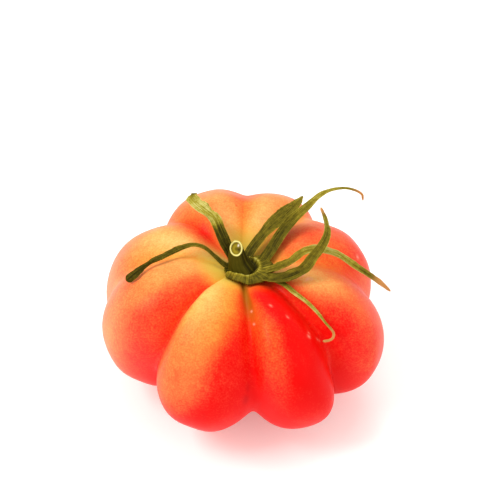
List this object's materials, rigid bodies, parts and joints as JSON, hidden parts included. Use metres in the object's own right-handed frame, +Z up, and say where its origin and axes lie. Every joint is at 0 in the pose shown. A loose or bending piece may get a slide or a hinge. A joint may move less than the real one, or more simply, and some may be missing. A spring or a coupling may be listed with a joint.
{
  "type": "ribbed tomato",
  "caption": "Ribbed tomato as picked, with its green calyx and a cut stub of stem, standing on its blossom end.",
  "frame": {"origin": "under the middle of the whole tomato, on the surface that it stands on", "axes": "+Z up along the stem axis, -Y to the front, where the two largest front lobes meet, +X to the right"},
  "size_m": [0.0979, 0.097, 0.0643],
  "materials": {
    "skin": "smooth waxy tomato skin, satin, red with orange and yellow-green shoulders",
    "calyx_green": "dry leathery olive-green sepal with pale veins and brown tips",
    "stem_green": "dull olive-green stalk, cut end with a pale rim round darker pith"
  },
  "bodies": {
    "root": {"fruit": "skin", "calyx": "calyx_green", "stem": "stem_green"}
  },
  "joints": []
}
